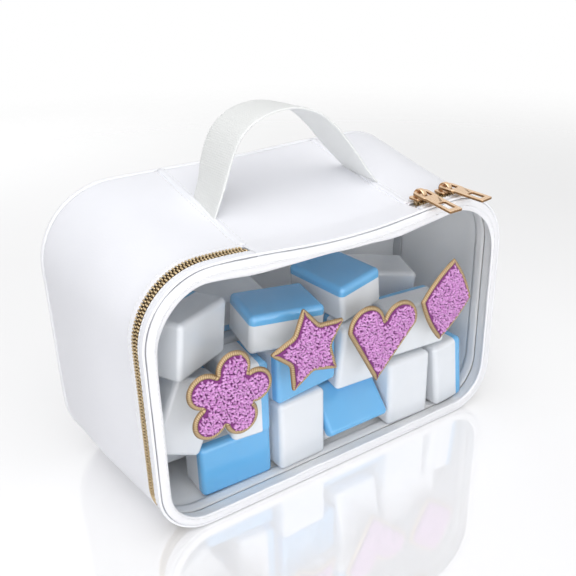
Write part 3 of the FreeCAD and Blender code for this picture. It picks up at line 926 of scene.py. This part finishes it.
def makeRibbon():
    frames = []
    for middle, outward, up in ringFrames(flap["ribbonInset"], flap["ribbonDepth"], flap["ribbonSteps"]):
        sway = outward * flap["ribbonSway"] * noise.noise(middle / flap["swaySize"])
        lift = up * flap["ribbonLift"] * noise.noise(middle / flap["liftSize"])
        frames.append((middle + sway + lift, outward, up))
    profile = roundProfile(flap["ribbonHalf"], flap["ribbonThick"], 3.2, 18)
    ribbon = sweepMesh("windowRibbon", frames, profile, True)
    dress(ribbon, "front_flap", ribbonSkin, ["window_frame"])
    # its free edge lies on the sheet as a thin lip, widest and waviest along the top
    points, count, edge, grain = [], flap["ribbonSteps"], flap["lipEdge"], flap["lipNoiseSize"]
    for run in between(0, flapLine.length, count):
        x, z, nx, nz = flapLine.at(run)
        high = ease(*flap["lipHeights"], z)
        wave = flap["lipNoise"] * noise.noise(Vector((x / grain, 1.7, z / grain)))
        wave += sum(size * hump(x, middle, half) for size, middle, half in flap["lipHumps"])
        width = flap["lipSide"] + (flap["lipTop"] - flap["lipSide"]) * high + flap["lipWave"] * wave * high
        width = max(flap["lipLeast"], width)
        rim = flap["lipRim"] - flap["lipCurl"] * high
        free = ((edge + width * flap["lipBend"], flap["lipMiddle"]), (edge + width, rim))
        points += [wallPoint(flapLine, run, depth, -inset) for inset, depth in flap["lipRoot"] + free]
    lip = makeMesh("ribbonLip", points, gridFaces(count, 4, True), facing=behindFlap)
    dress(thicken(lip, flap["lipThick"]), "front_flap", ribbonSkin)
    # stitches through the ribbon
    threads = Heap()
    line = [middle - up * flap["stitchUp"] - outward * flap["stitchIn"] for middle, outward, up in frames]
    addStitchRow(threads, line + line[:1], flap["stitchPitch"], flap["stitchLength"], flap["stitchRadius"])
    dress(heapMesh("ribbonStitching", threads), "front_flap", threadSkin)


def makeFlap():
    frames = ringFrames(flap["pipingInset"], bag["crease"], flap["pipingSteps"])
    piping = sweepMesh("flapPiping", frames, roundProfile(flap["pipingRadius"], flap["pipingRadius"]), True)
    dress(piping, "front_flap", pipingSkin, ["flap_piping"])
    makeRibbon()

    def pane(x, z, share):
        ripple = sum(size * noise.noise(Vector((x / wide, spot, z / tall)))
                     for size, wide, spot, tall in flap["ripples"])
        free = flap["ripple"] * (1 - share ** flap["ripplePower"])
        return soften(x, flap["sheetDepth"], z) + rearAxis * ripple * free

    outline = flapOutline(flap["sheetInset"])
    sheet = discSheet("clearWindow", outline, flap["sheetRings"], flap["sheetSteps"], pane, behindFlap)
    dress(sheet, "front_flap", vinylSheet(), ["clear_window"])


makeFlap()
print("flap done")


# chenille motifs: a felt backing, a border of satin stitch and a pile of yarn loops
motif = {
    "radius": 27.0, "pitch": 53.0, "level": 85.0, "stagger": 6.0, "step": 0.26, "cutStep": 1.0,
    "kinds": (("blossom", 12.0), ("star", -9.0), ("heart", 8.0), ("diamond", 10.0)),  # and their turns
    "border": 2.9, "borderLeast": 0.6, "borderRise": 0.7, "borderStep": 0.2, "borderClear": 0.8,
    "cornerReach": 5, "widthReach": 4,
    "borderShares": (-0.12, 0.0, 0.18, 0.4, 0.62, 0.85, 1.0),
    "borderRises": (-0.9, 0.15, 0.75, 1.0, 0.95, 0.55, -0.2),
    "ridge": 0.22, "ridgePitch": 1.25, "ridgeSlant": 0.7,
    "backingFront": -57.2, "backingThick": 1.15, "backingEdge": 0.25, "backingSink": 0.6,
    "groundThick": 1.2, "groundEdge": 0.2, "groundRise": 0.5, "groundShare": 0.8,
    "loopStep": 1.6, "loopWide": 0.8, "loopHigh": 2.4, "loopClear": 0.35, "loopRoot": 0.1,
    "rowShare": 0.87, "jitter": 0.4, "lean": 0.6,
    "heights": (0.82, 1.08), "widths": (0.8, 1.25), "low": 0.72, "lowReach": (2.7, 8),
    "yarn": 0.58, "bends": 6, "sides": 5,
}


def arcThrough(start, middle, end, count=24):
    a, b, c = (complex(*point) for point in (start, middle, end))
    ratio = (c - a) / (b - a)
    centre = a + (b - a) * (ratio - abs(ratio) ** 2) / (2j * ratio.imag)
    via, turn = (cmath.phase((point - centre) / (a - centre)) % fullTurn for point in (b, c))
    if via > turn:
        turn -= fullTurn
    arc = [centre + (a - centre) * cmath.rect(1, turn * step / count) for step in range(count)]
    return [(point.real, point.imag) for point in arc]


# sizes in these outlines are shares of the radius
def motifLoop(kind, r):
    fifth = math.pi / 5
    if kind == "blossom":
        loop = []
        for petal in range(5):
            spokes = ((0.62 * r, 2 * petal - 1), (r, 2 * petal), (0.62 * r, 2 * petal + 1))
            loop += arcThrough(*((size * math.sin(turn * fifth), size * math.cos(turn * fifth))
                                 for size, turn in spokes))
        return loop
    if kind == "star":
        sizes = [r * (0.56 if corner % 2 else 1) for corner in range(10)]
        return roundedLoop([(size * math.sin(corner * fifth), size * math.cos(corner * fifth), 2.2)
                            for corner, size in enumerate(sizes)], 6)
    if kind == "heart":
        shoulder = (0.98 * r, 0.3 * r)
        right = arcThrough((0, 0.5 * r), (0.55 * r, 0.88 * r), shoulder, 40) + [shoulder]
    else:
        side = (0.8 * r, 0)
        quarter = arcThrough((0, r), (0.44 * r, 0.56 * r), side)
        right = quarter + [(x, -y) for x, y in reversed(quarter[1:] + [side])]
    return right + [(0, -r)] + [(-x, y) for x, y in reversed(right)][:-1]


def evenLoop(loop, step):
    ends = loop[1:] + loop[:1]
    spans = [math.dist(a, b) for a, b in zip(loop, ends)]
    total = sum(spans)
    even, walked, index = [], 0.0, 0
    for target in between(0, total, round(total / step)):
        while walked + spans[index] < target:
            walked += spans[index]
            index += 1
        share = (target - walked) / (spans[index] or 1)
        even.append(tuple(a + (b - a) * share for a, b in zip(loop[index], ends[index])))
    return even


def edgeGap(loop, x, y):
    return min(math.hypot(x - a, y - b) for a, b in loop)


def isWithin(loop, x, y):
    crossed = False
    for (ax, ay), (bx, by) in zip(loop, loop[1:] + loop[:1]):
        if (ay > y) != (by > y) and x < (bx - ax) * (y - ay) / (by - ay) + ax:
            crossed = not crossed
    return crossed


# light and mid are the yarn's own tones; deep is painted shade for the roots of the loops and the ground
# between them
yarnTonesAndShade = {"light": (0.84, 0.46, 0.84), "mid": (0.58, 0.23, 0.57), "deep": (0.20, 0.04, 0.19)}
# gold as lit, and the deep colour as painted shade
goldLitAndShaded = {"light": (0.76, 0.58, 0.34), "deep": (0.12, 0.06, 0.02)}


def chenilleFinish():
    yarn = Finish("orchidChenille", Roughness=0.85, SheenWeight=0.45, SheenRoughness=0.4,
                  SpecularIORLevel=0.25)
    shade, lift = yarn.measure("shade"), yarn.measure("lift")
    fuzz = yarn.cloud(0.5, 3)
    upper = yarn.mix(shade * 0.7 + fuzz * 0.3, yarnTonesAndShade["mid"], yarnTonesAndShade["light"])
    # painted shade: each loop darkens to the deep colour towards its root
    yarn.give("BaseColor", yarn.mix(yarn.limit(lift, 0.25, 1.0), yarnTonesAndShade["deep"], upper))
    return yarn.relief(fuzz, 0.15)


def goldThread():
    thread = Finish("goldEmbroidery", Metallic=0.55, SpecularIORLevel=0.5)
    lift, glint = thread.measure("lift"), thread.cloud(0.8, 2)
    # painted shade: the marked grooves and low edges of the border take the deep colour
    thread.give("BaseColor", thread.mix(lift * 0.75 + glint * 0.25, goldLitAndShaded["deep"], goldLitAndShaded["light"]))
    thread.give("Roughness", 0.34 + glint * 0.2)
    return thread.relief(glint, 0.06)


# inward directions, smoothed round the corners, and how wide the border can be there
def borderLines(loop, coarse):
    count, inward, widths, reach = len(loop), [], [], motif["cornerReach"]
    near = range(-motif["widthReach"], motif["widthReach"] + 1)
    for number in range(count):
        a, b = loop[(number - reach) % count], loop[(number + reach) % count]
        size = math.dist(a, b) or 1
        inward.append(((b[1] - a[1]) / size, (a[0] - b[0]) / size))
    if not isWithin(loop, loop[0][0] + inward[0][0], loop[0][1] + inward[0][1]):
        inward = [(-x, -y) for x, y in inward]
    for (x, y), (nx, ny) in zip(loop, inward):
        width, clear = motif["border"], motif["borderClear"]
        while width > motif["borderLeast"] and edgeGap(coarse, x + nx * width, y + ny * width) < clear * width:
            width -= motif["borderStep"]
        widths.append(width)
    smooth = [sum(widths[(number + step) % count] for step in near) / len(near) for number in range(count)]
    return [(*point, *way, width) for point, way, width in zip(loop, inward, smooth)]


# satin stitch: fine ridges across the border, with painted shade in the grooves between them and where the
# border sinks
def borderMesh(name, lines, place, facing):
    points, lift = [], []
    for number, (x, y, nx, ny, width) in enumerate(lines):
        for share, rise in zip(motif["borderShares"], motif["borderRises"]):
            turns = number * motif["step"] / motif["ridgePitch"] + share * motif["ridgeSlant"]
            ridge, raised = 0.5 + 0.5 * math.cos(fullTurn * turns), max(0, rise)
            height = motif["borderRise"] * rise + motif["ridge"] * ridge * raised
            aside = width * share
            points.append(place(x + nx * aside, y + ny * aside, motif["backingFront"] - height))
            # painted light level: bright on the ridge crests, dark in the grooves and where the border sinks
            lift.append(ridge * (0.25 + 0.75 * raised))
    faces = gridFaces(len(lines), len(motif["borderShares"]), True)
    return makeMesh(name, points, faces, {"lift": lift}, facing)


def addYarnLoop(heap, place, x, y, gap, chance):
    angle, shade = chance.uniform(0, math.pi), chance.random()
    leanX, leanY = (chance.uniform(-motif["lean"], motif["lean"]) for _ in range(2))
    full = motif["low"] + (1 - motif["low"]) * ease(*motif["lowReach"], gap)
    high = motif["loopHigh"] * full * chance.uniform(*motif["heights"])
    wide = motif["loopWide"] * chance.uniform(*motif["widths"])
    c, s, sides = math.cos(angle), math.sin(angle), motif["sides"]
    frames, paintedLightLevels = [], []
    for arc in upTo(0, math.pi, motif["bends"] - 1):
        out, up = math.cos(arc), math.sin(arc)
        middle = place(x + c * out * wide + leanX * up, y + s * out * wide + leanY * up,
                       motif["backingFront"] - motif["loopRoot"] - high * up)
        along = place(-c * up, -s * up, 0) - place(0, 0, 0)
        along.y = -out * high / wide
        frames.append((middle, *sideAxes(along)))
        # painted light level: 0 at the loop's roots, which are painted in shade, up to 1 at its top
        paintedLightLevels += [up] * sides
    profile = roundProfile(motif["yarn"], motif["yarn"], 2, sides)
    addSweep(heap, frames, profile, capped=False, shade=[shade] * len(paintedLightLevels), lift=paintedLightLevels)


# yarn loops on a loose grid, leaning every way
def pileHeap(coarse, place, chance):
    heap, step, jitter = Heap(), motif["loopStep"], motif["jitter"]
    reach = int(motif["radius"] / step) + 2
    for row in range(-reach, reach + 1):
        for column in range(-reach, reach + 1):
            x = (column + 0.5 * (row % 2)) * step + chance.uniform(-jitter, jitter)
            y = row * step * motif["rowShare"] + chance.uniform(-jitter, jitter)
            gap = edgeGap(coarse, x, y)
            if isWithin(coarse, x, y) and gap >= motif["border"] + motif["loopClear"]:
                addYarnLoop(heap, place, x, y, gap, chance)
    return heap


def makeMotif(index, kind, tilt, chance, yarn, gold):
    turn, front = math.radians(tilt), motif["backingFront"]
    atX = (index - 1.5) * motif["pitch"]
    atZ = motif["level"] + (motif["stagger"] if index % 2 else -motif["stagger"])
    c, s = math.cos(turn), math.sin(turn)

    def place(x, z, depth):
        return Vector((atX + x * c + z * s, depth, atZ - x * s + z * c))

    # a plate cut to a loop and stood up at a depth, with the same marks all over
    def platePiece(name, cut, thick, edge, depth, marks):
        flat = Matrix(((c, s, 0, atX), (0, 0, 1, depth), (-s, c, 0, atZ), (0, 0, 0, 1)))
        flat.translation *= milli
        plate = cutPlate(name + "Plate", [evenLoop(cut, motif["cutStep"])], thick, edge)
        piece = joinMeshes(name, [(plate, flat)])
        markPoints(piece.data, {key: [value] * len(piece.data.vertices) for key, value in marks.items()})
        return piece

    loop = evenLoop(motifLoop(kind, motif["radius"]), motif["step"])
    coarse = loop[::4]
    lines = borderLines(loop, coarse)
    dress(borderMesh(kind + "Border", lines, place, (atX, 80, atZ)), "front_flap", gold)
    felt = platePiece(kind + "Backing", loop, motif["backingThick"], motif["backingEdge"],
                      front + motif["backingSink"], {"lift": 0.35})
    dress(felt, "front_flap", gold, [kind + "_backing"])
    pile = heapMesh(kind + "Pile", pileHeap(coarse, place, chance))
    # the ground between the loops is painted fully in the deep shade colour
    share = motif["groundShare"]
    ground = [(x + nx * width * share, y + ny * width * share) for x, y, nx, ny, width in lines][::4]
    base = platePiece(kind + "Ground", ground, motif["groundThick"], motif["groundEdge"],
                      front - motif["groundRise"], {"shade": 0.3, "lift": 0.1})
    dress(base, "front_flap", yarn)
    dress(pile, "front_flap", yarn, [kind + "_pile"])


def makeMotifs():
    chance = random.Random(7)
    yarn, gold = chenilleFinish(), goldThread()
    for index, (kind, tilt) in enumerate(motif["kinds"]):
        makeMotif(index, kind, tilt, chance, yarn, gold)


makeMotifs()
print("motifs done")


# carry handle: one strap of ribbed webbing, its ends sewn into the cross seams
strap = {
    "width": 28.0, "thick": 1.7, "depth": 2.0, "bow": 1.5, "twist": 7.0, "still": 0.15, "steps": 12,
    "route": (
        (-57.8, 160.2), (-51.3, 175.1), (-47.3, 187.1), (-43.3, 196.8), (-37.6, 205.3), (-27.9, 211.9),
        (-16.0, 215.0), (-4.0, 215.0), (6.8, 212.4), (17.1, 207.0), (26.8, 198.5), (34.2, 189.9),
        (42.2, 180.2), (50.2, 170.5), (58.4, 160.8),
    ),
}
webbingFinish = {
    "pale": (0.83, 0.84, 0.835), "shade": (0.72, 0.735, 0.73), "rib": 1.3, "cord": 1.9, "depth": 0.16,
}


def webbingCloth():
    web = Finish("whiteWebbing", Roughness=0.62, SheenWeight=0.25, SheenRoughness=0.35, SpecularIORLevel=0.4)
    ribs = web.ridges(web.measure("along"), webbingFinish["rib"])
    cords = web.ridges(web.measure("across"), webbingFinish["cord"])
    broad, fibre = web.cloud(28, 3), web.cloud(0.6, 3)
    weave = ribs * 0.6 + cords * 0.4
    tone = weave * 0.35 + broad * 0.5 + fibre * 0.15
    web.give("BaseColor", web.mix(tone, webbingFinish["shade"], webbingFinish["pale"]))
    return web.relief(weave + fibre * 0.3, webbingFinish["depth"])


# a smooth line through every point of a route
def smoothLine(route, steps):
    line = []
    padded = [route[0]] + list(route) + [route[-1]]
    for a, b, c, d in zip(padded, padded[1:], padded[2:], padded[3:]):
        for t in between(0, 1, steps):
            line.append(tuple(0.5 * (2 * q + (r - p) * t + (2 * p - 5 * q + 4 * r - s) * t * t
                                     + (3 * q - p - 3 * r + s) * t ** 3) for p, q, r, s in zip(a, b, c, d)))
    return line + [tuple(route[-1])]


def makeHandle():
    line = smoothLine(strap["route"], strap["steps"])
    frames, along, walked = [], [], 0.0
    for index, (x, z) in enumerate(line):
        before, after = line[max(0, index - 1)], line[min(len(line) - 1, index + 1)]
        forward = Vector((after[0] - before[0], 0, after[1] - before[1])).normalized()
        if index:
            walked += math.dist(line[index - 1], line[index])
        share = index / (len(line) - 1)
        held = ease(0, strap["still"], share) * ease(0, strap["still"], 1 - share)
        turn = math.radians(strap["twist"]) * math.sin(fullTurn * share) * held
        across = rearAxis * math.cos(turn) + forward.cross(rearAxis) * math.sin(turn)
        middle = Vector((x, strap["depth"] + strap["bow"] * math.sin(math.pi * share), z))
        frames.append((middle, across, across.cross(forward)))
        along.append(walked)
    profile = roundProfile(strap["width"] / 2, strap["thick"] / 2, 5, 40)
    runs = [run for run in along for _ in profile]
    sides = [a for _ in along for a, b in profile]
    web = sweepMesh("handleStrap", frames, profile, along=runs, across=sides)
    web.data.materials.append(webbingCloth())
    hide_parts("handle_strap", "handle_tab_left", "handle_tab_right")
    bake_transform(web)


makeHandle()
print("handle done")


# sliders and pulls: cast plates, a bridge and a long pull cut with a window
hardware = {
    "places": (("first", 64.5, 0.0, 7.0), ("second", 85.0, 9.0, 4.0)),  # across, pull's turn and droop
    "axisY": -44.5, "axisZ": 161.25,
    "plateCorners": ((-6.0, -4.5, 2.4), (6.0, -3.3, 2.0), (6.0, 3.3, 2.0), (-6.0, 4.5, 2.4)),
    "plateTop": 158.95, "plateThick": 1.6, "plateEdge": 0.45,
    "underTop": 153.2, "underThick": 1.1, "underEdge": 0.35,
    "bridge": ((4.1, 158.4), (3.9, 160.6), (2.2, 162.6), (-0.4, 163.1), (-2.7, 162.2), (-3.9, 160.4),
               (-4.1, 158.4)),
    "bridgeHalf": (1.7, 0.55), "bridgeSteps": 6,
    "postY": -45.7, "postHeights": (153.2, 157.9), "postHalf": (1.5, 0.18),
    "pullSide": ((5.7, 1.5, 2.6), (5.7, -8.6, 1.2), (4.9, -9.6, 0.8), (4.9, -30.0, 0.9)),
    "eye": (3.4, -0.6, -6.9, 1.2), "slot": (2.7, -17.6, -26.6, 0.5), "pullThick": 1.6, "pullEdge": 0.32,
    "sliderCrease": 50, "pullCrease": 40,
}
# bright and deep are the metal's own tones; side is painted shade for the upright faces
roseGoldTonesAndShade = {
    "bright": (0.84, 0.62, 0.42), "deep": (0.66, 0.45, 0.28), "side": (0.30, 0.17, 0.08), "rough": 0.2,
}


def roseGold(name, stretch):
    metal = Finish(name, Metallic=1.0)
    brush, stain = metal.cloud(0.5, 3, stretch=stretch), metal.cloud(6, 2)
    worn = metal.mix(stain * 0.5 + brush * 0.5, roseGoldTonesAndShade["deep"], roseGoldTonesAndShade["bright"])
    # painted shade: faces that point up or down keep the worn metal colour, and upright sides are painted
    # dark, standing in for dark reflections
    up = metal.node("SeparateXYZ", None, {0: metal.node("TexCoord", output="Normal")}, "Z")
    level = metal.limit(up.maths("ABSOLUTE", up, 0), 0.15, 0.6)
    metal.give("BaseColor", metal.mix(level, roseGoldTonesAndShade["side"], worn))
    metal.give("Roughness", roseGoldTonesAndShade["rough"] + brush * 0.16)
    return metal.relief(brush, 0.02)


def shift(x, y, z):
    return Matrix.Translation(Vector((x, y, z)) * milli)


def makeSlider(name, x, finish):
    h = hardware
    loop = roundedLoop(h["plateCorners"])
    plate = cutPlate(name + "Plate", [loop], h["plateThick"], h["plateEdge"])
    under = cutPlate(name + "Under", [loop], h["underThick"], h["underEdge"])
    # bridge over the pull's cross bar, and the post between the plates
    heap, frames = Heap(), []
    line = [Vector((x, h["axisY"] + y, z)) for y, z in smoothLine(h["bridge"], h["bridgeSteps"])]
    for index, middle in enumerate(line):
        along = line[min(len(line) - 1, index + 1)] - line[max(0, index - 1)]
        frames.append((middle, rightAxis, along.normalized().cross(rightAxis)))
    addSweep(heap, frames, roundProfile(*h["bridgeHalf"], 3))
    post = [(Vector((x, h["postY"], z)), rightAxis, rearAxis) for z in h["postHeights"]]
    addSweep(heap, post, roundProfile(*h["postHalf"]))
    bridge = heapMesh(name + "Bridge", heap)
    upper = shift(x, h["axisY"], h["plateTop"] - h["plateThick"] / 2)
    lower = shift(x, h["axisY"], h["underTop"] - h["underThick"] / 2)
    slider = joinMeshes(name + "Slider", [(plate, upper), (under, lower), (bridge.data, Matrix.Identity(4))])
    bpy.data.objects.remove(bridge)
    dress(creaseAt(slider, h["sliderCrease"]), name + "_slider", finish, ["slider_" + name])


# pull: ring head, waist, long tab
def makePull(name, x, yaw, droop, finish):
    h = hardware
    right = list(h["pullSide"])
    left = [(-across, y, reach) for across, y, reach in right]
    loops = [roundedLoop(left[:1] + right + left[:0:-1]), boxLoop(*h["eye"]), boxLoop(*h["slot"])]
    plate = cutPlate(name + "Tab", loops, h["pullThick"], h["pullEdge"])
    tipped = Matrix.Rotation(math.radians(yaw), 4, "Z") @ Matrix.Rotation(math.radians(droop), 4, "X")
    pull = joinMeshes(name + "Pull", [(plate, shift(x, h["axisY"], h["axisZ"]) @ tipped)])
    dress(creaseAt(pull, h["pullCrease"]), name + "_pull", finish, ["pull_" + name])


def makeHardware():
    brushed, cast = roseGold("roseGoldBrushed", (1, 0.05, 1)), roseGold("roseGoldCast", (1, 1, 1))
    for name, x, yaw, droop in hardware["places"]:
        makeSlider(name, x, cast)
        makePull(name, x, yaw, droop, brushed)


makeHardware()
print("sliders and pulls done")


# tiles: two layers of polished resin
tile = {
    "white": (0.83, 0.85, 0.88), "whiteDeep": (0.70, 0.74, 0.79), "blue": (0.13, 0.47, 0.83),
    "blueDeep": (0.10, 0.41, 0.77), "rough": 0.18, "coat": 0.65,
}


def resinFinish(name, pale, deep):
    resin = Finish(name, SpecularIORLevel=0.5, CoatRoughness=0.05, CoatWeight=tile["coat"])
    swirl, speck = resin.cloud(24, 3, 0.6), resin.cloud(3, 3)
    resin.give("BaseColor", resin.mix(swirl * 0.85 + speck * 0.15, deep, pale))
    resin.give("Roughness", tile["rough"] + speck * 0.08)
    return resin.relief(swirl, 0.12)


def dressTiles():
    white = resinFinish("tileWhite", tile["white"], tile["whiteDeep"])
    blue = resinFinish("tileBlue", tile["blue"], tile["blueDeep"])
    for name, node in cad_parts.items():
        if name.startswith("tile_"):
            node.data.materials.clear()
            node.data.materials.append(white if "faces" in name else blue)


dressTiles()
print("tiles done")
